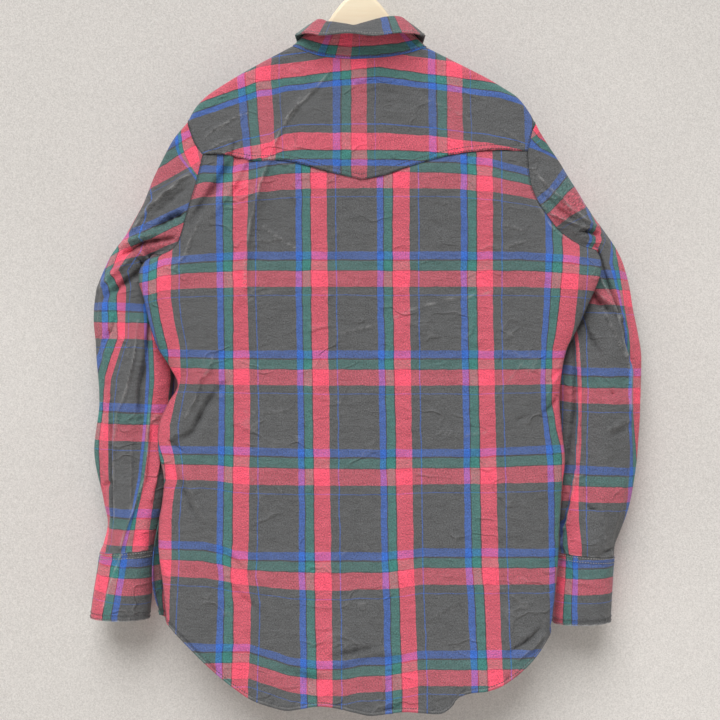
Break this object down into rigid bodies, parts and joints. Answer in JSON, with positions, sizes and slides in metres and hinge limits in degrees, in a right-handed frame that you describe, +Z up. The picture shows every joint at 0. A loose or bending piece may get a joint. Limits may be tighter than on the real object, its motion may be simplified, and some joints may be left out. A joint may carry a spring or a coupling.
{
  "type": "western snap shirt on a wooden hanger",
  "caption": "Long-sleeved plaid cotton shirt with a pointed western back yoke, snap front and curved hem, hanging on a wooden clothes hanger.",
  "frame": {"origin": "inside of the hook's top, where the hanger rests on its rod", "axes": "+Z up, +Y out of the shirt's back, +X towards the wearer's left"},
  "size_m": [0.7185, 0.1134, 0.997],
  "materials": {
    "plaid_cloth": "brushed, washed cotton in a charcoal, red, green and blue check",
    "pale_wood": "smooth, clear-lacquered",
    "hook_wire": "polished",
    "snap_cap": "pearl"
  },
  "bodies": {
    "root": {"back_yoke": "plaid_cloth", "back_body": "plaid_cloth", "front_yoke_left": "plaid_cloth", "front_yoke_right": "plaid_cloth", "front_body_left": "plaid_cloth", "front_body_right": "plaid_cloth", "front_band": "plaid_cloth", "sleeve_left": "plaid_cloth", "sleeve_right": "plaid_cloth", "cuff_left": "plaid_cloth", "cuff_right": "plaid_cloth", "collar_stand": "plaid_cloth", "collar_leaf": "plaid_cloth", "hanger_body": "pale_wood", "hanger_hook": "hook_wire", "snap_front_1": "snap_cap", "snap_front_2": "snap_cap", "snap_front_3": "snap_cap", "snap_front_4": "snap_cap", "snap_front_5": "snap_cap", "snap_front_6": "snap_cap", "snap_front_7": "snap_cap", "snap_collar": "snap_cap", "snap_cuff_left_1": "snap_cap", "snap_cuff_left_2": "snap_cap", "snap_cuff_right_1": "snap_cap", "snap_cuff_right_2": "snap_cap"}
  },
  "joints": []
}
